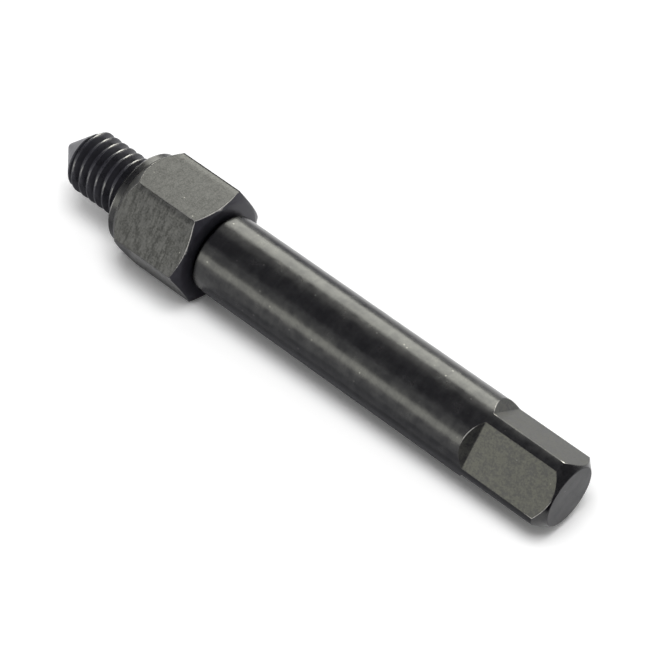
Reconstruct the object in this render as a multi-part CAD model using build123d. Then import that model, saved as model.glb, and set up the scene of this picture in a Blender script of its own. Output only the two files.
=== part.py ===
from build123d import *
import os
from math import acos, atan2, cos, degrees, pi, radians, sin, sqrt, tan

# Threaded insert installation tool for M8 inserts: a mandrel and the lock nut that runs on its stud.
# Both pieces are drawn upright on one axis, Z, whose zero is the seat: the plane where the nut's rear
# face meets the end of the shank. The square drive is above the seat and the stud is below it. The
# finished tool is then laid down as it rests on a table. Lengths are in millimetres, angles in degrees.

# Round shank, from the seat to the square drive
SHANK_DIAMETER = 10.0
SHANK_LENGTH = 41.0

# Square drive, milled on the end of the shank, so that its corners keep the shank's round surface.
# Its turn is the angle about the axis from a flat of the tightened nut to a flat of the square.
SQUARE_ACROSS_FLATS = 7.95
SQUARE_LENGTH = 11.0
SHOULDER_ANGLE = 45.0
SQUARE_TURN = -31.5
END_CHAMFER_LENGTH = 1.2
END_CHAMFER_WIDTH = 1.2

# Threaded stud with a right-hand M8 x 1.25 thread. Its length is from the seat to the rim of the point.
# The relief groove at the seat is a little deeper than the thread.
STUD_LENGTH = 20.95
THREAD_DIAMETER = 7.9
THREAD_PITCH = 1.25
RELIEF_LENGTH = 2.0
RELIEF_DEPTH = 0.13
POINT_ANGLE = 90.0
POINT_RADIUS = 0.65

# Shape of a metric thread: the flank's lean, and the crest's width and the depth in pitches
FLANK_ANGLE = 30.0
CREST_WIDTH_IN_PITCHES = 1 / 8
DEPTH_IN_PITCHES = 0.6134

# Turns of thread cut beyond the rim of the point, which the point then takes off
LEAD_IN_TURNS = 1.24

# Hexagonal lock nut. The insets are measured from its flats towards the axis. The rear is chamfered,
# and a cone at the front leads down from the corners to a short collar.
NUT_ACROSS_FLATS = 13.0
NUT_LENGTH = 12.5
REAR_FACE_INSET = 0.4
REAR_CHAMFER_ANGLE = 30.0
CONE_FOOT_INSET = 0.35
CONE_ANGLE = 50.0
COLLAR_INSET = 0.5
COLLAR_LENGTH = 1.3
COLLAR_BEVEL = 0.4

# Fits: the nut's bore runs clear of the thread's crests, and the shank's end is bevelled down to a
# narrow ring, the land, that the nut bears on outside its countersink
BORE_CLEARANCE = 0.05
BORE_COUNTERSINK = 0.2
SEAT_LAND = 0.2

# How far cutting shapes reach beyond what they cut, and how far the thread's ridge is sunk in its core
OVERCUT = 2.0
RIDGE_SINK = 0.08

SQUARE_SIDES = 4
HEXAGON_SIDES = 6

SHANK_RADIUS = SHANK_DIAMETER / 2
SQUARE_HALF = SQUARE_ACROSS_FLATS / 2
DRIVE_END = SHANK_LENGTH + SQUARE_LENGTH
THREAD_RADIUS = THREAD_DIAMETER / 2
ROOT_RADIUS = THREAD_RADIUS - DEPTH_IN_PITCHES * THREAD_PITCH
POINT_APEX = -STUD_LENGTH - THREAD_RADIUS / tan(radians(POINT_ANGLE / 2))
NUT_HALF = NUT_ACROSS_FLATS / 2
NUT_CORNER_RADIUS = NUT_HALF / cos(pi / HEXAGON_SIDES)
REAR_FACE_RADIUS = NUT_HALF - REAR_FACE_INSET
BORE_RADIUS = THREAD_RADIUS + BORE_CLEARANCE
SEAT_FACE_RADIUS = BORE_RADIUS + BORE_COUNTERSINK + SEAT_LAND


def turned(points):
    """Turn an outline of (radius, height) points about the axis."""
    outline = Polyline(*[(radius, 0, height) for radius, height in points], close=True)
    return revolve(make_face(outline), axis=Axis.Z)


def turned_shank():
    """The plain bar: bevelled at the seat and chamfered at the drive end."""
    return turned([
        (0, 0),
        (SEAT_FACE_RADIUS, 0),
        (SHANK_RADIUS, SHANK_RADIUS - SEAT_FACE_RADIUS),
        (SHANK_RADIUS, DRIVE_END - END_CHAMFER_LENGTH),
        (SHANK_RADIUS - END_CHAMFER_WIDTH, DRIVE_END),
        (0, DRIVE_END),
    ])


def flat_cutter():
    """What the mill takes off one side of the square: a slab with a sloped inner end."""
    reach = SHANK_RADIUS + OVERCUT
    run_out = (reach - SQUARE_HALF) / tan(radians(SHOULDER_ANGLE))
    outline = Polyline(
        (SQUARE_HALF, 0, SHANK_LENGTH),
        (reach, 0, SHANK_LENGTH - run_out),
        (reach, 0, DRIVE_END + OVERCUT),
        (SQUARE_HALF, 0, DRIVE_END + OVERCUT),
        close=True,
    )
    return extrude(make_face(outline), amount=reach, dir=(0, 1, 0), both=True)


def thread_ridge():
    """One helical ridge from beyond the point's rim to the relief groove, its foot sunk in the core."""
    start = -STUD_LENGTH - LEAD_IN_TURNS * THREAD_PITCH
    foot_radius = ROOT_RADIUS - RIDGE_SINK
    crest_half = CREST_WIDTH_IN_PITCHES * THREAD_PITCH / 2
    foot_half = crest_half + (THREAD_RADIUS - foot_radius) * tan(radians(FLANK_ANGLE))
    section = Polyline(
        (foot_radius, 0, start - foot_half),
        (THREAD_RADIUS, 0, start - crest_half),
        (THREAD_RADIUS, 0, start + crest_half),
        (foot_radius, 0, start + foot_half),
        close=True,
    )
    helix = Helix(THREAD_PITCH, -RELIEF_LENGTH - start, THREAD_RADIUS, center=(0, 0, start))
    return sweep(make_face(section), path=helix, is_frenet=True)


def stud_envelope():
    """What trims the thread: the point and its rounded tip, and the relief groove with a 45 degree side."""
    half_point = radians(POINT_ANGLE / 2)
    outer = THREAD_RADIUS + OVERCUT
    relief_radius = ROOT_RADIUS - RELIEF_DEPTH
    ball_centre = POINT_APEX + POINT_RADIUS / sin(half_point)
    half_way = (pi / 2 - half_point) / 2
    tip = (0, 0, ball_centre - POINT_RADIUS)
    ball_middle = (POINT_RADIUS * sin(half_way), 0, ball_centre - POINT_RADIUS * cos(half_way))
    ball_edge = (POINT_RADIUS * cos(half_point), 0, ball_centre - POINT_RADIUS * sin(half_point))
    sides = Polyline(
        ball_edge,
        (outer, 0, POINT_APEX + outer / tan(half_point)),
        (outer, 0, relief_radius - RELIEF_LENGTH - outer),
        (relief_radius, 0, -RELIEF_LENGTH),
        (relief_radius, 0, 0),
        (0, 0, 0),
        tip,
    )
    return revolve(make_face(sides + ThreePointArc(tip, ball_middle, ball_edge)), axis=Axis.Z)


def threaded_stud():
    """Core and ridge, trimmed to the stud's outer shape."""
    core = turned([(0, POINT_APEX), (ROOT_RADIUS, POINT_APEX), (ROOT_RADIUS, 0), (0, 0)])
    return (core + thread_ridge()) & stud_envelope()


def make_mandrel():
    """One bar: the shank, the square drive and the threaded stud."""
    bar = turned_shank()
    for side in range(SQUARE_SIDES):
        bar -= Rot(0, 0, SQUARE_TURN + side * 360 / SQUARE_SIDES) * flat_cutter()
    return bar + threaded_stud()


def nut_envelope():
    """What the lathe leaves of the hexagon: the rear chamfer, the front cone and the collar."""
    collar_radius = NUT_HALF - COLLAR_INSET
    cone_foot_radius = NUT_HALF - CONE_FOOT_INSET
    outer = NUT_CORNER_RADIUS + OVERCUT
    chamfer_depth = (outer - REAR_FACE_RADIUS) * tan(radians(REAR_CHAMFER_ANGLE))
    cone_depth = (outer - cone_foot_radius) * tan(radians(CONE_ANGLE))
    collar_top = COLLAR_LENGTH - NUT_LENGTH
    return turned([
        (0, 0),
        (REAR_FACE_RADIUS, 0),
        (outer, -chamfer_depth),
        (outer, collar_top + cone_depth),
        (cone_foot_radius, collar_top),
        (collar_radius, collar_top),
        (collar_radius, COLLAR_BEVEL - NUT_LENGTH),
        (collar_radius - COLLAR_BEVEL, -NUT_LENGTH),
        (0, -NUT_LENGTH),
    ])


def nut_bore():
    """A plain running bore over the thread's crests, with a 45 degree countersink at both ends."""
    mouth = BORE_RADIUS + BORE_COUNTERSINK
    return turned([
        (0, OVERCUT),
        (mouth + OVERCUT, OVERCUT),
        (BORE_RADIUS, -BORE_COUNTERSINK),
        (BORE_RADIUS, BORE_COUNTERSINK - NUT_LENGTH),
        (mouth + OVERCUT, -NUT_LENGTH - OVERCUT),
        (0, -NUT_LENGTH - OVERCUT),
    ])


def make_lock_nut():
    """The hexagon with a flat towards +X, turned at both ends and bored."""
    hexagon = Rot(0, 0, 180 / HEXAGON_SIDES) * RegularPolygon(NUT_CORNER_RADIUS, HEXAGON_SIDES)
    return (extrude(hexagon, amount=-NUT_LENGTH) & nut_envelope()) - nut_bore()


def square_depth():
    """How far the square reaches towards +X, the side of the nut's flat that lies on the table."""
    corner_radius = min(SHANK_RADIUS, SQUARE_HALF * sqrt(2))
    corner_half = pi / SQUARE_SIDES - acos(SQUARE_HALF / corner_radius)
    depths = []
    for corner in range(SQUARE_SIDES):
        middle = radians(SQUARE_TURN) + (2 * corner + 1) * pi / SQUARE_SIDES
        from_down = abs(atan2(sin(middle), cos(middle)))
        depths.append(corner_radius * cos(max(from_down - corner_half, 0)))
    return max(depths)


def resting_tilt():
    """The slope at which the nut's lower flat and the lowest corner of the square meet the table."""
    flat_start = REAR_FACE_INSET * tan(radians(REAR_CHAMFER_ANGLE))
    reach = DRIVE_END - END_CHAMFER_LENGTH + flat_start
    return degrees(atan2(NUT_HALF - square_depth(), reach))


def laid_down(shape):
    """Lay a piece on the table with its drive end towards +X and a flat of the nut below."""
    return Rot(0, resting_tilt(), 0) * Rot(0, 90, 0) * shape


def main():
    """Lay both pieces down, put the origin under the middle of the tool and write a file for each."""
    pieces = {"mandrel": laid_down(make_mandrel()), "lock_nut": laid_down(make_lock_nut())}
    boxes = [piece.bounding_box() for piece in pieces.values()]
    low = [min(getattr(box.min, side) for box in boxes) for side in "XYZ"]
    high = [max(getattr(box.max, side) for box in boxes) for side in "XYZ"]
    to_origin = Pos(-(low[0] + high[0]) / 2, -(low[1] + high[1]) / 2, -low[2])
    os.makedirs("parts", exist_ok=True)
    for name, piece in pieces.items():
        export_step(to_origin * piece, f"parts/{name}.step")


main()
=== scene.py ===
"""Looks of a threaded insert installation tool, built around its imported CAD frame.

The tool is an oiled, blackened steel mandrel (square drive, round shank and pointed threaded
stud) with a hexagonal lock nut on its stud. Shapes are drawn in the tool's own millimetres,
upright on its axis with zero at the seat between nut and shank, and then laid down on the table.
Angles about the axis are counted from the side that lies on the table: 180 degrees is up, and 270
degrees is level towards the camera.
"""

import logging
from collections.abc import Iterable
from dataclasses import dataclass, replace
from enum import Enum, IntEnum
from typing import Any

import bmesh
import bpy
import numpy as np
from mathutils import Matrix, Vector


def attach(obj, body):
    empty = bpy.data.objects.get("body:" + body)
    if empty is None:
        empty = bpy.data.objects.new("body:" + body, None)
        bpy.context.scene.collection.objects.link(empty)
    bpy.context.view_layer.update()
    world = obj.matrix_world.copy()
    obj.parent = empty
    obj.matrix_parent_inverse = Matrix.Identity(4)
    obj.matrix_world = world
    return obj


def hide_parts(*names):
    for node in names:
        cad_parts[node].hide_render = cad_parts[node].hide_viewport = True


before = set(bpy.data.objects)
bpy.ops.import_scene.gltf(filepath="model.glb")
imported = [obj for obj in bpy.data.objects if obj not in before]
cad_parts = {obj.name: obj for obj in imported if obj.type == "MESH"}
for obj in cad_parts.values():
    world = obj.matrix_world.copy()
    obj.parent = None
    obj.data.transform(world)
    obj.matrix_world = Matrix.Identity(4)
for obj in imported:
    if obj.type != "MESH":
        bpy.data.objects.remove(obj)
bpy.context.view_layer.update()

LOG = logging.getLogger("scene")
MM = 0.001
SQUARE_SIDES = 4
HEXAGON_SIDES = 6

# Mesh attributes that carry the tool's own millimetres, and the wear of its edges, which is partly
# painted highlight where the edges mirror the windows, to the materials
POINT_ATTRIBUTE = "tool_mm"
WEAR_AND_HIGHLIGHT_ATTRIBUTE = "edge_wear_and_highlight"

# A Mix node's inputs by number, because their names repeat, and its colour output
SHARE, NUMBER_A, NUMBER_B, COLOUR_A, COLOUR_B = 0, 2, 3, 6, 7
COLOUR_OUT = 2

# Where most values of one noise lie, and where most of a mix of three lie
NOISE_SPAN = (0.3, 0.7)
MIXED_SPAN = (0.41, 0.59)

# How often noise repeats in a millimetre along marks that run round the axis or across a flat
ROUND_MARK_RATE = 0.12
ACROSS_MARK_RATE = 0.6

# Share of a speck's radius that is fully bare
SPECK_CORE = 0.4

# In metres: points this near are one point, and sides shorter than this are dropped
MERGE_DISTANCE = 2e-7
SLIVER_LENGTH = 1e-8

# In millimetres: the least radius that is divided by, and heights that agree to this many digits
# are one row
LEAST_RADIUS = 1e-6
HEIGHT_DIGITS = 5

Socket = bpy.types.NodeSocket
Tree = bpy.types.NodeTree
Rgb = tuple[float, float, float]
Xyz = tuple[float, float, float]


def linear(hex_colour: str) -> Rgb:
    """Turn an sRGB hex colour into linear light.

    Args:
        hex_colour: Six hex digits after a hash sign.

    Returns:
        Linear red, green and blue from 0 to 1.
    """
    parts = [int(hex_colour[i:i + 2], 16) / 255 for i in (1, 3, 5)]
    return tuple(p / 12.92 if p <= 0.04045 else ((p + 0.055) / 1.055) ** 2.4 for p in parts)


def add_node(
    tree: Tree,
    kind: str,
    settings: dict[str, Any] | None = None,
    inputs: dict[str | int, Any] | None = None,
) -> bpy.types.Node:
    """Add one node with its settings, its set values and its links.

    Args:
        tree: Node tree that takes the node.
        kind: Blender's name for the kind of node.
        settings: Properties of the node.
        inputs: For each input, a value to set or an output socket to link.

    Returns:
        The new node.
    """
    made = tree.nodes.new(kind)
    for name, value in (settings or {}).items():
        setattr(made, name, value)
    for key, value in (inputs or {}).items():
        if isinstance(value, Socket):
            tree.links.new(value, made.inputs[key])
        else:
            made.inputs[key].default_value = value
    return made


class Marks(Enum):
    """Which way the machining marks run on a surface."""

    ROUND = "rings round the axis"
    FACED = "rings about the middle of an end face"
    ACROSS = "grain straight across a flat"
    CLOUDED = "no clear direction"


@dataclass(frozen=True)
class BlackenedSteel:
    """Steel with an oiled black oxide coat: a dark metal whose reflections do most of the work.

    The coat takes the light of the steel down to a few percent, so lit faces show as soft grey and
    all others as near black. Handling rubs it off the edges, which show as thin bright lines.
    """

    name: str
    coat_hex: str
    thin_coat_hex: str
    roughness: float
    marks: Marks
    mark_spacing_mm: float
    mark_depth_mm: float
    grain_mm: float
    grain_depth_mm: float
    blotch_mm: float
    blotch_strength: float
    wear_strength: float
    metallic: float = 1.0
    worn_hex: str = "#c4c2bd"
    worn_roughness: float = 0.3
    wear_from: float = 0.14
    wear_to: float = 0.40
    speck_spacing_mm: float = 2.0
    speck_mm: float = 0.11
    speck_strength: float = 0.30
    roughness_spread: float = 0.06
    mark_tone: float = 0.3
    grain_tone: float = 0.3

    def mark_position(self, tree: Tree, place: Socket) -> Socket:
        """Stretch the tool's coordinates so that noise in them runs the way of the marks.

        Args:
            tree: Node tree of the material.
            place: The surface point in the tool's millimetres.

        Returns:
            The stretched coordinates, one unit to a mark.
        """
        step = 1 / self.mark_spacing_mm
        if self.marks is Marks.FACED:
            flat = add_node(tree, "ShaderNodeVectorMath", {"operation": "MULTIPLY"},
                            {0: place, 1: (1, 1, 0)}).outputs[0]
            radius = add_node(tree, "ShaderNodeVectorMath", {"operation": "LENGTH"}, {0: flat})
            return add_node(tree, "ShaderNodeVectorMath", {"operation": "SCALE"},
                            {0: radius.outputs["Value"], "Scale": step}).outputs[0]
        along = {Marks.ROUND: (ROUND_MARK_RATE, ROUND_MARK_RATE, step),
                 Marks.ACROSS: (ACROSS_MARK_RATE, ACROSS_MARK_RATE, step),
                 Marks.CLOUDED: (step, step, step)}[self.marks]
        return add_node(tree, "ShaderNodeVectorMath", {"operation": "MULTIPLY"},
                        {0: place, 1: along}).outputs[0]

    def coat_colour(self, tree: Tree, marks: Socket, grain: Socket, blotch: Socket) -> Socket:
        """Mix the thick and the thin coat in patches that marks and grain break up.

        Args:
            tree: Node tree of the material.
            marks: Noise of the machining marks.
            grain: Noise of the grain.
            blotch: Noise of the patches.

        Returns:
            The coat's colour.
        """
        patch = blotch
        for noise, tone in ((marks, self.mark_tone), (grain, self.grain_tone)):
            patch = add_node(tree, "ShaderNodeMath", {"operation": "MULTIPLY_ADD"}, {
                0: noise, 1: tone, 2: patch}).outputs[0]
        whole = 1 + self.mark_tone + self.grain_tone
        patch = add_node(tree, "ShaderNodeMapRange", None, {
            "Value": patch, "From Min": MIXED_SPAN[0] * whole, "From Max": MIXED_SPAN[1] * whole,
            "To Min": 0.5 - 0.5 * self.blotch_strength,
            "To Max": 0.5 + 0.5 * self.blotch_strength}).outputs["Result"]
        return add_node(tree, "ShaderNodeMix", {"data_type": "RGBA"}, {
            SHARE: patch, COLOUR_A: (*linear(self.coat_hex), 1),
            COLOUR_B: (*linear(self.thin_coat_hex), 1)}).outputs[COLOUR_OUT]

    def bare_share(self, tree: Tree, place: Socket, edge: Socket, grain: Socket) -> Socket:
        """Say how far the coat is gone: on rubbed edges, partly painted highlight, frayed by the
        grain, and in specks.

        Args:
            tree: Node tree of the material.
            place: The surface point in the tool's millimetres.
            edge: Wear of the edges from 0 to 1, partly painted highlight where they mirror the
                windows.
            grain: Noise of the grain.

        Returns:
            The share of bare steel.
        """
        dots = add_node(tree, "ShaderNodeTexVoronoi", None, {
            "Vector": place, "Scale": 1 / self.speck_spacing_mm, "Randomness": 1.0})
        speck = add_node(tree, "ShaderNodeMapRange", None, {
            "Value": dots.outputs["Distance"],
            "From Min": self.speck_mm / self.speck_spacing_mm,
            "From Max": SPECK_CORE * self.speck_mm / self.speck_spacing_mm,
            "To Max": self.speck_strength}).outputs["Result"]
        rubbed = add_node(tree, "ShaderNodeMath", {"operation": "MULTIPLY"}, {
            0: edge, 1: grain}).outputs[0]
        rubbed = add_node(tree, "ShaderNodeMapRange", None, {
            "Value": rubbed, "From Min": self.wear_from, "From Max": self.wear_to,
            "To Max": self.wear_strength}).outputs["Result"]
        return add_node(tree, "ShaderNodeMath", {"operation": "MAXIMUM"}, {
            0: rubbed, 1: speck}).outputs[0]

    def material(self) -> bpy.types.Material:
        """Build the node material.

        Returns:
            The material with its colour, roughness and bump patterns.
        """
        made = bpy.data.materials.new(self.name)
        made.use_nodes = True
        tree = made.node_tree
        tree.nodes.clear()
        place = add_node(tree, "ShaderNodeAttribute",
                         {"attribute_name": POINT_ATTRIBUTE}).outputs["Vector"]
        edge = add_node(tree, "ShaderNodeAttribute",
                        {"attribute_name": WEAR_AND_HIGHLIGHT_ATTRIBUTE}).outputs["Fac"]
        marks, grain, blotch = (
            add_node(tree, "ShaderNodeTexNoise", None, {
                "Vector": vector, "Scale": scale, "Detail": detail,
                "Roughness": fineness}).outputs["Fac"]
            for vector, scale, detail, fineness in (
                (self.mark_position(tree, place), 1.0, 3.0, 0.6),
                (place, 1 / self.grain_mm, 3.0, 0.65),
                (place, 1 / self.blotch_mm, 5.0, 0.6)))
        colour = add_node(tree, "ShaderNodeMix", {"data_type": "RGBA"}, {
            SHARE: self.bare_share(tree, place, edge, grain),
            COLOUR_A: self.coat_colour(tree, marks, grain, blotch),
            COLOUR_B: (*linear(self.worn_hex), 1)}).outputs[COLOUR_OUT]
        rough = add_node(tree, "ShaderNodeMapRange", None, {
            "Value": blotch, "From Min": NOISE_SPAN[0], "From Max": NOISE_SPAN[1],
            "To Min": self.roughness - self.roughness_spread,
            "To Max": self.roughness + self.roughness_spread}).outputs["Result"]
        rough = add_node(tree, "ShaderNodeMix", {"data_type": "FLOAT"}, {
            SHARE: edge, NUMBER_A: rough, NUMBER_B: self.worn_roughness}).outputs[0]
        height = add_node(tree, "ShaderNodeMath", {"operation": "MULTIPLY"}, {
            0: marks, 1: self.mark_depth_mm * MM}).outputs[0]
        height = add_node(tree, "ShaderNodeMath", {"operation": "MULTIPLY_ADD"}, {
            0: grain, 1: self.grain_depth_mm * MM, 2: height}).outputs[0]
        bump = add_node(tree, "ShaderNodeBump", None, {
            "Height": height, "Distance": 1.0, "Strength": 1.0}).outputs["Normal"]
        shader = add_node(tree, "ShaderNodeBsdfPrincipled", None, {
            "Base Color": colour, "Metallic": self.metallic, "Roughness": rough, "Normal": bump})
        add_node(tree, "ShaderNodeOutputMaterial", None, {"Surface": shader.outputs[0]})
        return made


# A pixel of the render is 0.12 mm wide on the tool. The real tool marks are about 0.1 mm apart and
# the grain of the coat about 0.02 mm wide, too fine to show, so the marks are drawn 0.28 to 0.8 mm
# apart and the grain 0.15 to 0.4 mm wide. The patches of thick and thin coat, 1 to 2 mm wide, and
# the specks where it is chipped, 0.2 mm wide and 1.4 to 2 mm apart, have their real size.

# The coats differ in how the steel under them was cut. Turned with a fine feed and polished, the
# shank gives long clear bands with slightly frayed borders.
TURNED_SHANK = BlackenedSteel(
    name="turned_shank_black_oxide", coat_hex="#323233", thin_coat_hex="#404040",
    roughness=0.23, marks=Marks.ROUND, mark_spacing_mm=0.35, mark_depth_mm=0.0008,
    grain_mm=0.35, grain_depth_mm=0.003, blotch_mm=1.6, blotch_strength=0.9,
    wear_strength=0.8, speck_spacing_mm=1.4, speck_mm=0.13, speck_strength=0.15)
# Milled and then tumbled, the square's flats are matt and cloudy.
MILLED_SQUARE = BlackenedSteel(
    name="milled_square_black_oxide", coat_hex="#3c3c3c", thin_coat_hex="#4e4e4a",
    roughness=0.40, marks=Marks.CLOUDED, mark_spacing_mm=0.4, mark_depth_mm=0.0015,
    grain_mm=0.25, grain_depth_mm=0.0015, blotch_mm=1.0, blotch_strength=1.25,
    wear_strength=0.9, speck_strength=0.12, grain_tone=0.6)
# Faced on the lathe, the end is bluish and shows faint rings.
FACED_END = BlackenedSteel(
    name="faced_end_black_oxide", coat_hex="#28282a", thin_coat_hex="#353537",
    roughness=0.42, marks=Marks.FACED, mark_spacing_mm=0.4, mark_depth_mm=0.0012,
    grain_mm=0.3, grain_depth_mm=0.0015, blotch_mm=2.0, blotch_strength=0.8,
    wear_strength=0.5, mark_tone=0.6)
# The hexagon is cut across, so its flats keep a fine grain straight across them.
CUT_HEXAGON = BlackenedSteel(
    name="cut_hexagon_black_oxide", coat_hex="#323232", thin_coat_hex="#4b4b4b",
    roughness=0.42, marks=Marks.ACROSS, mark_spacing_mm=0.28, mark_depth_mm=0.0015,
    grain_mm=0.15, grain_depth_mm=0.0015, blotch_mm=1.1, blotch_strength=1.0,
    wear_strength=1.0, mark_tone=0.6, grain_tone=1.6)
# One flat was cut with a duller tool, which left deeper and darker marks across it.
ROUGH_HEXAGON = replace(
    CUT_HEXAGON, name="rough_hexagon_black_oxide", blotch_strength=1.35, blotch_mm=1.0,
    grain_mm=0.24, mark_tone=1.1, grain_tone=0.9, mark_spacing_mm=0.38)
# The collar is turned like the shank but coarser, so the windows show on it in broken bands.
TURNED_COLLAR = replace(
    TURNED_SHANK, name="turned_collar_black_oxide", roughness=0.30, mark_spacing_mm=0.3,
    mark_depth_mm=0.006, mark_tone=0.9, speck_spacing_mm=2.0)
# The nut's rear is turned and holds a dried oil film, dark, matt and a little violet.
TURNED_NUT = BlackenedSteel(
    name="turned_nut_black_oxide", coat_hex="#27262c", thin_coat_hex="#333239", metallic=0.5,
    roughness=0.42, marks=Marks.ROUND, mark_spacing_mm=0.3, mark_depth_mm=0.001,
    grain_mm=0.3, grain_depth_mm=0.0015, blotch_mm=1.4, blotch_strength=0.8,
    wear_strength=0.9)
# The nut's cone is turned with a coarse feed, matt like the flats, with rings that catch the light.
TURNED_CONE = BlackenedSteel(
    name="turned_cone_black_oxide", coat_hex="#454544", thin_coat_hex="#5e5e5a",
    roughness=0.40, marks=Marks.ROUND, mark_spacing_mm=0.35, mark_depth_mm=0.004,
    grain_mm=0.3, grain_depth_mm=0.002, blotch_mm=1.4, blotch_strength=1.0,
    wear_strength=0.9, mark_tone=0.9)
# The cut thread is dark and oily, and only its crests are polished enough to mirror the windows.
CUT_THREAD = BlackenedSteel(
    name="cut_thread_black_oxide", coat_hex="#2e2e33", thin_coat_hex="#3b3b41", metallic=0.5,
    roughness=0.30, marks=Marks.CLOUDED, mark_spacing_mm=0.8, mark_depth_mm=0.001,
    grain_mm=0.4, grain_depth_mm=0.008, blotch_mm=1.5, blotch_strength=0.8,
    wear_strength=0.24, worn_roughness=0.25, wear_from=0.20, wear_to=0.40)


@dataclass(frozen=True)
class Laying:
    """How the upright tool lies on the table, as in the CAD part."""

    seat_mm: Xyz = (-13.7352, 0.0, 6.4902)
    tilt_deg: float = 1.7128214

    def laid_down(self, points: np.ndarray) -> np.ndarray:
        """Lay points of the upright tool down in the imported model's frame.

        Args:
            points: Points in the tool's millimetres, one to a row.

        Returns:
            The points in metres in that frame.
        """
        tilt = np.radians(self.tilt_deg)
        turn = np.array([[-np.sin(tilt), 0, -np.cos(tilt)],
                         [0, 1, 0],
                         [np.cos(tilt), 0, -np.sin(tilt)]])
        return (points @ turn + np.array(self.seat_mm)) * MM


LAYING = Laying()


@dataclass(frozen=True)
class WearAndHighlightPlace:
    """A place where the tool's edges are brightest, by wear and painted highlight, in millimetres.
    """

    radius: float
    angle_deg: float
    height: float
    reach: float
    half_length: float = 0.0
    strength: float = 1.0

    def share(self, points: np.ndarray) -> np.ndarray:
        """Say how much wear and painted highlight points get: most at the place, falling off over
        its reach.

        Args:
            points: Points in the tool's millimetres, one to a row.

        Returns:
            The wear and painted highlight of each point.
        """
        angle = np.radians(self.angle_deg)
        away = points - (self.radius * np.cos(angle), self.radius * np.sin(angle), self.height)
        away[:, 2] = np.maximum(np.abs(away[:, 2]) - self.half_length, 0)
        return self.strength * np.exp(-np.sum(away ** 2, axis=1) / self.reach ** 2)


@dataclass
class Draft:
    """A mesh being drawn: points in the tool's millimetres, faces, and what dresses them."""

    points: np.ndarray
    wear: np.ndarray
    faces: list[tuple[int, ...]]
    finish_of_face: list[int]

    def rub(self, places: tuple[WearAndHighlightPlace, ...], elsewhere: float) -> None:
        """Keep the wear near the given places, where it is partly painted highlight, and weaken it
        elsewhere.

        Args:
            places: The places of wear and painted highlight.
            elsewhere: Share of the wear that stays far from all of them.
        """
        near = sum(place.share(self.points) for place in places)
        self.wear *= np.clip(elsewhere + near, 0, 1)

    def finished(self, name: str, finishes: list[BlackenedSteel]) -> bpy.types.Object:
        """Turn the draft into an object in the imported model's frame.

        Args:
            name: Name of the piece.
            finishes: The finishes that the faces' numbers stand for.

        Returns:
            The object, merged where points meet, smooth, and dressed.
        """
        mesh = bpy.data.meshes.new(name)
        mesh.from_pydata(LAYING.laid_down(self.points).tolist(), [], self.faces)
        mesh.polygons.foreach_set("material_index", self.finish_of_face)
        mesh.polygons.foreach_set("use_smooth", [True] * len(self.faces))
        place = mesh.attributes.new(POINT_ATTRIBUTE, "FLOAT_VECTOR", "POINT")
        place.data.foreach_set("vector", self.points.astype(np.float32).ravel())
        wear = mesh.attributes.new(WEAR_AND_HIGHLIGHT_ATTRIBUTE, "FLOAT", "POINT")
        wear.data.foreach_set("value", self.wear.astype(np.float32).ravel())
        work = bmesh.new()
        work.from_mesh(mesh)
        bmesh.ops.remove_doubles(work, verts=work.verts, dist=MERGE_DISTANCE)
        bmesh.ops.dissolve_degenerate(work, edges=work.edges, dist=SLIVER_LENGTH)
        work.to_mesh(mesh)
        work.free()
        for finish in finishes:
            mesh.materials.append(finish.material())
        made = bpy.data.objects.new(name, mesh)
        bpy.context.scene.collection.objects.link(made)
        weigh = made.modifiers.new("even_shading", "WEIGHTED_NORMAL")
        weigh.mode = "FACE_AREA_WITH_ANGLE"
        return made


def with_round_corners(outline: list[tuple[float, float]], radius: float,
                       steps: int = 4, side_share: float = 0.45) -> np.ndarray:
    """Round the inner corners of an outline with small arcs.

    Args:
        outline: Corners as (radius, height) in millimetres.
        radius: Radius of the arcs, cut down where a side is short.
        steps: Number of steps in an arc.
        side_share: Largest share of a side that an arc may take.

    Returns:
        The rounded outline as rows of radius, height and wear, which is 1 on an arc's middle.
    """
    corners = np.array(outline, float)
    rows = [(*corners[0], 0.0)]
    for before, corner, after in zip(corners, corners[1:], corners[2:]):
        back, ahead = before - corner, after - corner
        room = side_share * min(np.linalg.norm(back), np.linalg.norm(ahead))
        back, ahead = back / np.linalg.norm(back), ahead / np.linalg.norm(ahead)
        half = np.arccos(np.clip(back @ ahead, -1, 1)) / 2
        reach = min(radius / np.tan(half), room)
        size = reach * np.tan(half)
        centre = corner + (back + ahead) / np.linalg.norm(back + ahead) * size / np.sin(half)
        start, end = corner + back * reach - centre, corner + ahead * reach - centre
        sweep = np.pi - 2 * half
        for step in range(steps + 1):
            share = step / steps
            arm = np.sin((1 - share) * sweep) * start + np.sin(share * sweep) * end
            rows.append((*(centre + arm / np.sin(sweep)), np.sin(np.pi * share)))
    rows.append((*corners[-1], 0.0))
    return np.array(rows)


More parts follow.
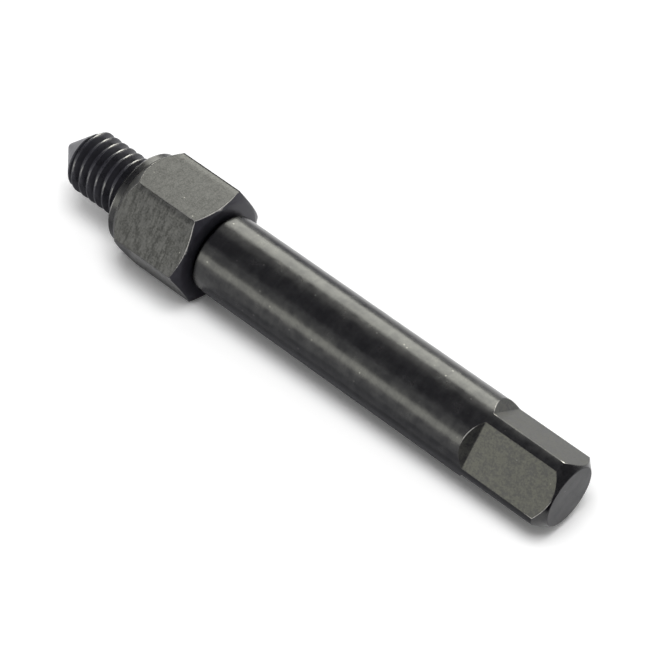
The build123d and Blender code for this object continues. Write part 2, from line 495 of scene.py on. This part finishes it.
@dataclass
class FacetedTurning:
    """A turned blank with flats cut on it, as one grid whose columns follow the flats' edges.

    Every row is a circle of the blank that the flats cut, and each flat meets the round surface in
    a narrow rounded edge. Along one of its sides a flat may fall away in a narrow strip. The two
    limits keep the columns apart where a flat takes nearly its whole sector.
    """

    sides: int
    turn_deg: float
    flat_steps: int = 6
    edge_steps: int = 6
    round_steps: int = 6
    flat_limit: float = 0.985
    edge_limit: float = 0.995
    strip: float = 0.0
    strip_slope: float = 0.0
    strip_blend: float = 0.15

    def edge_angle(self, flat: np.ndarray, reach: np.ndarray) -> np.ndarray:
        """Angle from a flat's middle to where it is reach millimetres from the axis."""
        return np.arccos(np.clip(flat / np.maximum(reach, LEAST_RADIUS), 0, 1))

    def draft(self, rows: np.ndarray, finish: np.ndarray, closed: bool) -> Draft:
        """Draw the grid.

        Args:
            rows: For each row its blank radius, height, flat's distance from the axis, wear of its
                round part, wear of the flats' edges and how far those are rounded.
            finish: For each row the finish number of its round part and of its flats.
            closed: Whether the last row joins the first, as on a ring.

        Returns:
            The draft of the closed surface.
        """
        blank, height, flat, rim, rubbed, soft = rows.T
        half = np.pi / self.sides
        first = np.minimum(self.edge_angle(flat, blank - soft), half * self.flat_limit)
        last = np.minimum(self.edge_angle(flat, blank + soft), half * self.edge_limit)
        first = np.where(blank > soft, first, 0.0)
        spans = []
        for start, end, shares in (
                (np.zeros_like(first), first,
                 np.sin(0.5 * np.pi * np.arange(self.flat_steps) / self.flat_steps)),
                (first, last, np.arange(self.edge_steps) / self.edge_steps),
                (last, np.full_like(last, half), np.arange(self.round_steps) / self.round_steps)):
            spans.append(start[:, None] + (end - start)[:, None] * shares)
        right = np.hstack(spans)
        sector = np.hstack([np.full((len(blank), 1), -half), -right[:, :0:-1], right])
        around = np.hstack([sector + 2 * half * side for side in range(self.sides)])
        own = np.tile(sector, (1, self.sides))
        inside_strip = np.maximum(self.strip - flat[:, None] * (np.tan(half) + np.tan(own)), 0)
        drop = self.strip_slope * inside_strip ** 2 / (inside_strip + self.strip_blend)
        plane = (flat[:, None] - drop) / np.cos(own)
        soft = soft[:, None]
        share = np.clip(0.5 + (blank[:, None] - plane) / (2 * soft), 0, 1)
        radius = np.maximum(
            blank[:, None] * (1 - share) + plane * share - soft * share * (1 - share), 0)
        angle = around + np.radians(self.turn_deg)
        points = np.stack([radius * np.cos(angle), radius * np.sin(angle),
                           np.broadcast_to(height[:, None], radius.shape)], axis=2)
        wear = np.maximum(4 * share * (1 - share) * rubbed[:, None], rim[:, None] * (1 - share))
        count, width = radius.shape
        faces, numbers = [], []
        for row in range(count if closed else count - 1):
            ahead = (row + 1) % count
            for column in range(width):
                beside = (column + 1) % width
                faces.append((row * width + column, row * width + beside,
                              ahead * width + beside, ahead * width + column))
                mean = (share[row, column] + share[row, beside] + share[ahead, column]
                        + share[ahead, beside]) / 4
                numbers.append(int(finish[row, 1 if mean > 0.5 else 0]))
        return Draft(points.reshape(-1, 3), wear.reshape(-1), faces, numbers)


def rows_between(outline: np.ndarray, heights: np.ndarray) -> np.ndarray:
    """Read an outline that rises all the way at more heights.

    Args:
        outline: Rows of radius, height and wear.
        heights: Heights to read, within the outline's.

    Returns:
        Rows of radius, height and wear at the given heights and the outline's own.
    """
    levels = np.unique(np.round(np.concatenate([outline[:, 1], heights]), HEIGHT_DIGITS))
    return np.column_stack([np.interp(levels, outline[:, 1], outline[:, 0]), levels,
                            np.interp(levels, outline[:, 1], outline[:, 2])])


class BarFinish(IntEnum):
    """Number of each finish of the shank and square."""

    SHANK = 0
    SQUARE = 1
    END = 2


@dataclass
class Mandrel:
    """The bar: shank, square drive and threaded stud. Lengths in millimetres from the seat."""

    # Shank and square drive, and how far their edges are rounded
    shank_radius: float = 5.0
    shank_length: float = 41.0
    seat_face_radius: float = 4.4
    square_half: float = 3.975
    square_turn_deg: float = -31.5
    drive_end: float = 52.0
    end_chamfer_length: float = 1.2
    end_chamfer_width: float = 1.2
    corner_round: float = 0.12
    rim_round: float = 0.10
    edge_round: float = 0.06
    shoulder_round: float = 0.08

    # Where the rows of the bar's grid lie
    first_row: float = 1.0
    shank_row_step: float = 1.5
    square_row_step: float = 1.0
    shoulder_rows: int = 30
    shoulder_foot_rows: int = 5
    chamfer_rows: int = 14
    rim_rows: int = 6
    seat_rows: tuple[float, ...] = (0.0, 2.0, 4.0)
    end_rows_from_edge: tuple[float, ...] = (0.04, 0.12, 0.25)
    end_rows: tuple[float, ...] = (3.4, 2.6, 1.8, 1.0, 0.4, 0.0)

    # Wear and painted highlight: edge wear is kept brightest on the rims beside the two shoulders
    # that are seen, the corner between their flats, and two on the lower flat's end edge, where
    # these edges mirror the windows, then on the upper and the lower side of the thread's crests
    end_rim_wear: float = 0.2
    wear_elsewhere: float = 0.2
    wear_and_highlight_places: tuple[WearAndHighlightPlace, ...] = (
        WearAndHighlightPlace(5.0, 174.0, 40.3, 1.1),
        WearAndHighlightPlace(5.0, 226.0, 40.0, 1.1),
        WearAndHighlightPlace(5.0, 186.0, 50.8, 0.45),
        WearAndHighlightPlace(4.6, 268.0, 51.2, 1.1),
        WearAndHighlightPlace(4.15, 256.0, 51.65, 1.0, 0.0, 0.9),
    )
    # Painted highlight: the crests are bare metal only on the sides that mirror the two windows
    crest_wear_and_highlights: tuple[WearAndHighlightPlace, ...] = (
        WearAndHighlightPlace(3.95, 166.0, -17.0, 1.1, 4.5),
        WearAndHighlightPlace(3.95, 246.0, -17.5, 1.2, 4.5, 0.5),
    )
    crests_elsewhere: float = 0.06
    crest_wear_reach: float = 2.3

    # Stud and thread. Thread positions are in pitches, from 0 on a crest to 0.5 in the root.
    root_radius: float = 3.183
    thread_radius: float = 3.95
    pitch: float = 1.25
    crest_share: float = 0.16
    crest_round: float = 0.035
    flank_deg: float = 30.0
    ridge_height: float = -22.5
    point_apex: float = -24.9
    point_round: float = 0.65
    tip_worn: float = 0.002
    relief_radius: float = 3.053
    relief_length: float = 2.0
    sunk: float = 0.3
    lid_rate: float = 1.2
    lid_turns: int = 3
    thread_steps: int = 132
    thread_section: tuple[float, ...] = (
        0.0, 0.045, 0.064, 0.08, 0.096, 0.12, 0.2, 0.29, 0.37, 0.405, 0.43, 0.5)

    def flat_distance(self, height: np.ndarray) -> np.ndarray:
        """Say how far a square's flat is from the axis at each height, with its 45 degree shoulder.

        Args:
            height: Heights above the seat.

        Returns:
            The distances, softly joined where the shoulder meets the flat.
        """
        rise = self.shank_length - height
        soft = self.shoulder_round
        share = np.clip(0.5 + rise / (2 * soft), 0, 1)
        joined = rise * share + soft * share * (1 - share)
        inset = np.clip((height - self.drive_end + self.rim_round) / self.rim_round, 0, 1)
        return self.square_half + joined - self.rim_round * (1 - np.sqrt(1 - inset ** 2))

    def bar_rows(self) -> np.ndarray:
        """Rows of the shank and square, set closest where the flats run out.

        Returns:
            Rows of blank radius, height, flat's distance, wear, wear of the flats' edges and how
            far those are rounded.
        """
        rim = self.rim_round
        bevel = self.shank_radius - self.seat_face_radius
        chamfer_rate = self.end_chamfer_width / self.end_chamfer_length
        side = with_round_corners([
            (self.seat_face_radius, 0.0), (self.shank_radius, bevel),
            (self.shank_radius, self.drive_end - self.end_chamfer_length),
            (self.shank_radius - self.end_chamfer_width, self.drive_end)], self.corner_round)
        reach = self.shank_radius + self.edge_round
        widest = np.arccos(self.square_half / reach)
        apex = np.linspace(0, widest, self.shoulder_rows)
        shoulder = self.shank_length + self.square_half - reach * np.cos(apex)
        soft = self.shoulder_round
        rounded = np.sin(np.linspace(0, np.pi / 2, self.rim_rows))
        heights = np.concatenate([
            np.arange(self.first_row, self.shank_length - self.shank_row_step,
                      self.shank_row_step), shoulder,
            self.shank_length + np.linspace(-soft, soft, self.shoulder_foot_rows),
            np.arange(self.shank_length + self.square_row_step,
                      self.drive_end - self.square_row_step, self.square_row_step),
            self.drive_end - np.linspace(self.end_chamfer_length, rim, self.chamfer_rows),
            self.drive_end - rim + rim * rounded])
        rows = rows_between(side, heights)
        inset = np.clip((rows[:, 1] - self.drive_end + rim) / rim, 0, 1)
        rows[:, 0] -= rim * (1 - np.sqrt(1 - inset ** 2)) * chamfer_rate
        rows[:, 2] = np.maximum(rows[:, 2], np.sin(np.pi * inset))
        rows[rows[:, 1] > self.shank_length, 2] *= self.end_rim_wear
        rows = np.insert(rows, 2, self.flat_distance(rows[:, 1]), axis=1)
        rows = np.column_stack([rows, np.ones(len(rows)), np.full(len(rows), self.edge_round)])
        rest = (0.0, 1.0, self.edge_round)
        seat = [(radius, 0.0, rows[0, 2], *rest) for radius in self.seat_rows]
        edge = rows[-1, 0]
        end_rows = [edge - inward for inward in self.end_rows_from_edge] + list(self.end_rows)
        cap = [(radius, self.drive_end, rows[-1, 2], *rest) for radius in end_rows]
        return np.vstack([seat, rows, cap])

    def bar(self) -> bpy.types.Object:
        """Build the shank with its square drive as one closed piece.

        Returns:
            The piece.
        """
        rows = self.bar_rows()
        on_cap = rows[:, 1] > self.drive_end - 0.5 * self.rim_round
        finish = np.column_stack([np.where(on_cap, BarFinish.END, BarFinish.SHANK),
                                  np.where(on_cap, BarFinish.END, BarFinish.SQUARE)])
        turning = FacetedTurning(SQUARE_SIDES, self.square_turn_deg, flat_steps=8, round_steps=8)
        draft = turning.draft(rows, finish, closed=False)
        draft.rub(self.wear_and_highlight_places, self.wear_elsewhere)
        return draft.finished("shank_and_square", [TURNED_SHANK, MILLED_SQUARE, FACED_END])

    def thread_profile(self, across: np.ndarray) -> tuple[np.ndarray, np.ndarray]:
        """Radius of the thread at a distance along the axis from the nearest crest.

        Args:
            across: Distances in pitches, from 0 on the crest to 0.5 in the root.

        Returns:
            The radii, and the wear, which is 1 on the crest.
        """
        crest = self.crest_share / 2
        fall = (across - crest) * self.pitch / np.tan(np.radians(self.flank_deg))
        soft = self.crest_round
        share = np.clip(0.5 + fall / (2 * soft), 0, 1)
        radius = self.thread_radius - fall * share - soft * share * (1 - share)
        wear = np.clip(self.crest_wear_reach - across / crest, 0, 1)
        return np.maximum(radius, self.root_radius), wear

    def stud_limit(self, height: np.ndarray) -> np.ndarray:
        """Largest radius that the point, its rounded tip and the relief leave at each height.

        Args:
            height: Heights above the seat.

        Returns:
            The largest radii.
        """
        cone = np.maximum(height - self.point_apex, 0)
        centre = self.point_apex + self.point_round * np.sqrt(2)
        ball = np.sqrt(np.maximum(self.point_round ** 2 - (height - centre) ** 2, 0))
        tip = np.where(height < centre - self.point_round / np.sqrt(2), ball, cone)
        relief = self.relief_radius + np.maximum(-self.relief_length - height, 0)
        return np.minimum(tip, relief)

    def stud(self) -> bpy.types.Object:
        """Build the threaded stud as one strip that winds up the helix from tip to seat.

        Returns:
            The piece, whose upper end closes in a lid that is sunk in the shank.
        """
        section = self.thread_section
        across = np.array([*section, *(1 - part for part in section[-2:0:-1])])
        width = len(across)
        lowest = self.point_apex - self.pitch
        highest = self.sunk + self.lid_turns * self.pitch
        turns = int(np.ceil((highest - lowest) / self.pitch)) + 1
        start = self.ridge_height - self.pitch * np.ceil((self.ridge_height - lowest) / self.pitch)
        lines = turns * width
        step = np.arange(self.thread_steps)[:, None]
        line = np.arange(lines)[None, :]
        share = across[line % width]
        height = start + self.pitch * (step / self.thread_steps + line // width + share)
        radius, wear = self.thread_profile(np.minimum(share, 1 - share))
        radius = np.broadcast_to(radius, height.shape)
        limit = self.stud_limit(height)
        wear = np.where(limit < radius, 0.0, np.broadcast_to(wear, height.shape))
        radius = np.minimum(radius, limit)
        lid = np.maximum(height - self.sunk, 0)
        radius = np.maximum(radius - self.lid_rate * lid, 0)
        tip = self.point_apex + self.point_round * (np.sqrt(2) - 1) + self.tip_worn
        height = np.clip(height, tip, self.sunk)
        angle = 2 * np.pi * step / self.thread_steps
        points = np.stack([radius * np.cos(angle), radius * np.sin(angle), height], axis=2)
        faces = []
        for turn in range(self.thread_steps):
            lift = width if turn == self.thread_steps - 1 else 0
            beside = (turn + 1) % self.thread_steps
            for row in range(lines - 1 - lift):
                faces.append((turn * lines + row, beside * lines + row + lift,
                              beside * lines + row + lift + 1, turn * lines + row + 1))
        draft = Draft(points.reshape(-1, 3), wear.reshape(-1), faces, [0] * len(faces))
        draft.rub(self.crest_wear_and_highlights, self.crests_elsewhere)
        return draft.finished("threaded_stud", [CUT_THREAD])

    def build(self) -> list[bpy.types.Object]:
        """Build both pieces and tie them to the mandrel's body.

        Returns:
            The bar and the stud.
        """
        pieces = [self.bar(), self.stud()]
        for piece in pieces:
            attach(piece, "mandrel")
            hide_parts("mandrel")
        return pieces


class NutFinish(IntEnum):
    """Number of each finish of the lock nut."""

    FLAT = 0
    REAR = 1
    CONE = 2
    ROUGH_FLAT = 3
    COLLAR = 4


@dataclass
class LockNut:
    """The hexagonal lock nut. Lengths in millimetres from the seat, which its rear face meets."""

    # Hexagon, rear chamfer, front cone, collar and bore
    flat_half: float = 6.5
    length: float = 12.5
    rear_face_inset: float = 0.4
    rear_chamfer_deg: float = 30.0
    cone_foot_inset: float = 0.35
    cone_deg: float = 50.0
    collar_inset: float = 0.5
    collar_length: float = 1.3
    collar_bevel: float = 0.4
    collar_step: float = 0.05
    bore_radius: float = 4.0
    countersink: float = 0.2

    # How far edges are rounded, least at the hexagon's corners and more away from them
    corner_cut: float = 0.02
    corner_round: float = 0.03
    round_rate: float = 0.3
    front_edge_round: float = 0.05
    rear_edge_round: float = 0.10
    rim_round: float = 0.14

    # Strip beside one edge of each flat that falls away a little, as a worn hexagon's does
    strip: float = 0.80
    strip_slope: float = 0.14

    # Where the rows of the grid lie
    circle_rows: int = 24
    flat_rows_from: float = -9.0
    flat_rows_to: float = -1.5
    flat_row_step: float = 0.75
    bore_rows_from: float = -1.0
    bore_rows_to: float = -12.0
    bore_row_step: float = 1.5

    # Finish, wear and painted highlight: the middle of the rough flat, how far the cone's finish
    # reaches down the step above the collar, and the places of edge wear, all on the two flats that
    # are seen and the collar, set where the edges mirror the windows; the two on the collar are
    # painted highlights
    rough_flat_deg: float = 240.0
    cone_overlap: float = 0.03
    corner_wear: float = 0.2
    corner_reach: float = 0.01
    front_wear: float = 0.8
    bore_rim_wear: float = 0.4
    wear_elsewhere: float = 0.08
    wear_and_highlight_places: tuple[WearAndHighlightPlace, ...] = (
        WearAndHighlightPlace(7.4, 205.0, -0.6, 6.5),
        WearAndHighlightPlace(7.2, 203.0, -10.6, 2.2),
        WearAndHighlightPlace(5.8, 246.0, -12.3, 1.3),
        WearAndHighlightPlace(6.9, 190.0, -11.0, 1.8, 0.0, 0.7),
        WearAndHighlightPlace(6.0, 158.0, -12.0, 1.8, 0.0, 0.8),
    )

    def rows(self) -> np.ndarray:
        """Rows of the outside from the front face to the rear face, then back through the bore.

        Returns:
            Rows of blank radius, height, flat's distance, wear, wear of the flats' edges and how
            far those are rounded.
        """
        corner = self.flat_half / np.cos(np.pi / HEXAGON_SIDES) - self.corner_cut
        collar = self.flat_half - self.collar_inset
        foot = self.flat_half - self.cone_foot_inset
        collar_top = self.collar_length - self.length
        cone_rise = np.tan(np.radians(self.cone_deg))
        chamfer_rise = np.tan(np.radians(self.rear_chamfer_deg))
        rear = self.flat_half - self.rear_face_inset
        side = with_round_corners([
            (collar - self.collar_bevel, -self.length),
            (collar, self.collar_bevel - self.length),
            (collar, collar_top - self.collar_step),
            (foot, collar_top),
            (corner, collar_top + (corner - foot) * cone_rise),
            (corner, -(corner - rear) * chamfer_rise),
            (rear, 0.0)], self.rim_round)
        reach = np.arccos(self.flat_half / (corner + self.front_edge_round))
        apex = np.linspace(0, reach, self.circle_rows)
        circles = self.flat_half / np.cos(apex) - self.front_edge_round
        circles = circles[(circles > foot) & (circles < corner)]
        heights = np.concatenate([
            collar_top + (circles - foot) * cone_rise, -(circles - rear) * chamfer_rise,
            np.arange(self.flat_rows_from, self.flat_rows_to, self.flat_row_step)])
        outside = rows_between(side, heights)
        mouth = self.bore_radius + self.countersink
        front_middle = 0.5 * (mouth + collar - self.collar_bevel)
        front = [(mouth, -self.length, self.bore_rim_wear), (front_middle, -self.length, 0.0)]
        inside = [(0.5 * (mouth + rear), 0.0, 0.0), (mouth, 0.0, self.bore_rim_wear),
                  (self.bore_radius, -self.countersink, 0.5 * self.bore_rim_wear)]
        inside += [(self.bore_radius, height, 0.0) for height in np.arange(
            self.bore_rows_from, self.bore_rows_to, -self.bore_row_step)]
        inside += [(self.bore_radius, self.countersink - self.length, 0.5 * self.bore_rim_wear)]
        rows = np.vstack([front, outside, inside])
        rows = np.insert(rows, 2, self.flat_half, axis=1)
        to_corner = corner - rows[:, 0]
        on_front = rows[:, 1] < -0.5 * self.length
        rubbed = np.where(on_front, self.front_wear, 1.0)
        rubbed = np.where(to_corner < self.corner_reach, self.corner_wear, rubbed)
        most = np.where(on_front, self.front_edge_round, self.rear_edge_round)
        soft = np.minimum(self.corner_round + self.round_rate * to_corner, most)
        return np.column_stack([rows, rubbed, soft])

    def with_rough_flat(self, draft: Draft) -> list[int]:
        """Give the rough flat's faces their own finish.

        Args:
            draft: The nut's surface.

        Returns:
            The finish number of each face.
        """
        middle = draft.points[np.array(draft.faces)].mean(axis=1)
        angle = np.degrees(np.arctan2(middle[:, 1], middle[:, 0])) % 360
        numbers = np.array(draft.finish_of_face)
        in_sector = np.abs(angle - self.rough_flat_deg) < 180 / HEXAGON_SIDES
        return np.where(in_sector & (numbers == NutFinish.FLAT), NutFinish.ROUGH_FLAT,
                        numbers).tolist()

    def build(self) -> bpy.types.Object:
        """Build the nut and tie it to its body.

        Returns:
            The nut.
        """
        rows = self.rows()
        cone_from = self.collar_length - self.length - self.cone_overlap
        turned = np.where(rows[:, 1] > -0.5 * self.length, NutFinish.REAR,
                          np.where(rows[:, 1] > cone_from, NutFinish.CONE, NutFinish.COLLAR))
        finish = np.column_stack([turned, np.full(len(rows), NutFinish.FLAT)])
        turning = FacetedTurning(HEXAGON_SIDES, 0.0, flat_steps=16, strip=self.strip,
                                 strip_slope=self.strip_slope)
        draft = turning.draft(rows, finish, closed=True)
        draft.finish_of_face = self.with_rough_flat(draft)
        draft.rub(self.wear_and_highlight_places, self.wear_elsewhere)
        piece = draft.finished("hexagon_lock_nut",
                               [CUT_HEXAGON, TURNED_NUT, TURNED_CONE, ROUGH_HEXAGON,
                                TURNED_COLLAR])
        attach(piece, "lock_nut")
        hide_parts("lock_nut")
        return piece


@dataclass(frozen=True)
class Panel:
    """A soft light panel that faces the tool: a window, seen in its reflections, or a plain lamp.

    Lengths are in metres, and azimuth is counted from the front, -Y, towards +X.
    """

    name: str
    mirrored: bool
    azimuth_deg: float
    elevation_deg: float
    distance: float
    width: float
    height: float
    radiance: float
    colour_hex: str

    def build(self) -> None:
        """Hang the panel. A mirrored one shows only in reflections, another only lights."""
        lamp = bpy.data.lights.new(self.name, "AREA")
        lamp.shape = "RECTANGLE"
        lamp.size, lamp.size_y = self.width, self.height
        lamp.energy = self.radiance * np.pi * self.width * self.height
        lamp.color = linear(self.colour_hex)
        made = bpy.data.objects.new(self.name, lamp)
        bpy.context.scene.collection.objects.link(made)
        azimuth, elevation = np.radians((self.azimuth_deg, self.elevation_deg))
        away = Vector((np.cos(elevation) * np.sin(azimuth), -np.cos(elevation) * np.cos(azimuth),
                       np.sin(elevation)))
        made.location = away * self.distance
        made.rotation_euler = away.to_track_quat("Z", "Y").to_euler()
        made.visible_camera = False
        made.visible_diffuse = not self.mirrored
        made.visible_glossy = self.mirrored


@dataclass(frozen=True)
class Sheet:
    """A flat matt sheet of the set, level or upright: the table, or a card for the reflections.

    It has its low and its high corner in metres, and the corner after the high one is moved along
    by the lean. A card shows only where the tool mirrors it. The table can be given another white
    for the camera and for reflections, as a linear value.
    """

    name: str
    low: Xyz
    high: Xyz
    colour_hex: str
    lean: float = 0.0
    is_card: bool = True
    seen_white: float | None = None
    mirrored_white: float | None = None

    def corners(self) -> list[Xyz]:
        """Find the four corners, in order round the sheet.

        Returns:
            The corners in metres.
        """
        first, second = [axis for axis in range(3) if self.low[axis] != self.high[axis]]
        beside, above = list(self.low), list(self.low)
        beside[first] = self.high[first]
        above[second] = self.high[second]
        above[first] += self.lean
        return [self.low, tuple(beside), self.high, tuple(above)]

    def material(self) -> bpy.types.Material:
        """Build the matt material, whose colour may differ for the camera and in reflections.

        Returns:
            The material.
        """
        plain = linear(self.colour_hex)
        seen = plain if self.seen_white is None else (self.seen_white,) * 3
        mirrored = plain if self.mirrored_white is None else (self.mirrored_white,) * 3
        matt = bpy.data.materials.new(self.name)
        matt.use_nodes = True
        tree = matt.node_tree
        tree.nodes.clear()
        path = add_node(tree, "ShaderNodeLightPath").outputs
        in_mirror = add_node(tree, "ShaderNodeMath", {"operation": "MAXIMUM"}, {
            0: path["Is Glossy Ray"], 1: path["Is Transmission Ray"]}).outputs[0]
        shade = add_node(tree, "ShaderNodeMix", {"data_type": "RGBA"}, {
            SHARE: in_mirror, COLOUR_A: (*plain, 1), COLOUR_B: (*mirrored, 1)})
        shade = add_node(tree, "ShaderNodeMix", {"data_type": "RGBA"}, {
            SHARE: path["Is Camera Ray"], COLOUR_A: shade.outputs[COLOUR_OUT],
            COLOUR_B: (*seen, 1)})
        shader = add_node(tree, "ShaderNodeBsdfDiffuse", None, {
            "Color": shade.outputs[COLOUR_OUT]})
        add_node(tree, "ShaderNodeOutputMaterial", None, {"Surface": shader.outputs[0]})
        return matt

    def build(self) -> None:
        """Lay or stand the sheet, as part of the set."""
        mesh = bpy.data.meshes.new(self.name)
        mesh.from_pydata(self.corners(), [], [(0, 1, 2, 3)])
        mesh.materials.append(self.material())
        made = bpy.data.objects.new(self.name, mesh)
        bpy.context.scene.collection.objects.link(made)
        if self.is_card:
            made.visible_camera = False
            made.visible_diffuse = False
            made.visible_shadow = False


@dataclass
class Studio:
    """White table, soft panels, grey cards, painted shadow sheets and the camera of the photograph.
    """

    camera_mm: Xyz = (135.00, -165.80, 214.90)
    camera_right: Xyz = (0.74391283, 0.66555779, 0.06019629)
    camera_up: Xyz = (-0.50147605, 0.49642491, 0.70858099)
    lens_mm: float = 143.58
    sensor_mm: float = 36.0
    nearest_seen: float = 0.01
    room_light: float = 0.46
    sheets: tuple[Sheet, ...] = (
        Sheet("table", (-3.0, -3.0, 0.0), (3.0, 3.0, 0.0), "#f4f4f4", is_card=False,
              seen_white=1.13, mirrored_white=1.22),
        Sheet("overhead_card", (-0.20, -0.20, 0.24), (0.22, 0.16, 0.24), "#c4c3ca"),
        Sheet("right_card", (0.17, -0.14, 0.0), (0.17, 0.20, 0.18), "#b8b7bd"),
        Sheet("left_card", (-0.17, -0.14, 0.03), (-0.17, 0.12, 0.22), "#6c6c72"),
        Sheet("rear_card", (-0.30, 0.10, 0.0), (-0.03, 0.10, 0.028), "#d8d8de"),
        Sheet("ground_card_right", (0.020, -0.14, 0.001), (0.17, 0.0, 0.001), "#5a5a60",
              lean=0.025),
        # Painted shadow: grey sheets seen only in reflections stand in for the tool's contact
        # shadow
        Sheet("painted_shadow_shank", (-0.0145, -0.0078, 0.0003), (0.036, -0.0005, 0.0003),
              "#a2a2a6"),
        Sheet("painted_shadow_shank_side", (-0.0145, -0.0150, 0.0003), (0.036, -0.0078, 0.0003),
              "#e0e0e4"),
        # Painted shadow as well, on the table beside the stud as the tool mirrors it
        Sheet("painted_shadow_stud", (-0.040, -0.0135, 0.0003), (-0.0245, -0.0005, 0.0003),
              "#bcbcc0"),
        Sheet("ground_card_point", (-0.062, -0.003, 0.0003), (-0.040, 0.016, 0.0003), "#e8e8ec"),
    )
    panels: tuple[Panel, ...] = (
        Panel("rear_window", True, -150, 36.6, 0.30, 0.28, 0.193, 6.2, "#fffff2"),
        Panel("rear_window_glow", True, -146, 62.5, 0.24, 0.22, 0.055, 0.90, "#fffff6"),
        Panel("front_window", True, -23.5, 10, 0.35, 0.20, 0.12, 3.4, "#fffff0"),
        Panel("ceiling_lamp", False, 30, 76.5, 0.60, 0.32, 0.32, 7.1, "#ffffff"),
    )

    def build_camera(self) -> None:
        """Place the camera where the photograph was taken from."""
        data = bpy.data.cameras.new("camera")
        data.lens = self.lens_mm
        data.sensor_width = self.sensor_mm
        data.clip_start = self.nearest_seen
        made = bpy.data.objects.new("camera", data)
        bpy.context.scene.collection.objects.link(made)
        right, up = Vector(self.camera_right), Vector(self.camera_up)
        turn = Matrix((right, up, right.cross(up))).transposed().to_4x4()
        made.matrix_world = Matrix.Translation(Vector(self.camera_mm) * MM) @ turn
        bpy.context.scene.camera = made

    def build_world(self) -> None:
        """Give the room its even light and its white backdrop."""
        world = bpy.data.worlds.new("room")
        world.use_nodes = True
        tree = world.node_tree
        tree.nodes.clear()
        path = add_node(tree, "ShaderNodeLightPath").outputs
        strength = add_node(tree, "ShaderNodeMapRange", None, {
            "Value": path["Is Diffuse Ray"], "To Min": 1.0,
            "To Max": self.room_light}).outputs["Result"]
        light = add_node(tree, "ShaderNodeBackground", None, {
            "Color": (1, 1, 1, 1), "Strength": strength})
        add_node(tree, "ShaderNodeOutputWorld", None, {"Surface": light.outputs[0]})
        bpy.context.scene.world = world

    def build(self) -> None:
        """Set up the whole studio."""
        self.build_camera()
        self.build_world()
        for thing in (*self.sheets, *self.panels):
            thing.build()
        bpy.context.scene.view_settings.view_transform = "Standard"


def main() -> None:
    """Build the studio and the tool, and report each piece."""
    logging.basicConfig(level=logging.INFO, format="%(message)s")
    Studio().build()
    pieces = [*Mandrel().build(), LockNut().build()]
    bpy.context.view_layer.update()
    for piece in pieces:
        LOG.info("%s: %d points, %d faces", piece.name, len(piece.data.vertices),
                 len(piece.data.polygons))


if __name__ == "__main__":
    main()
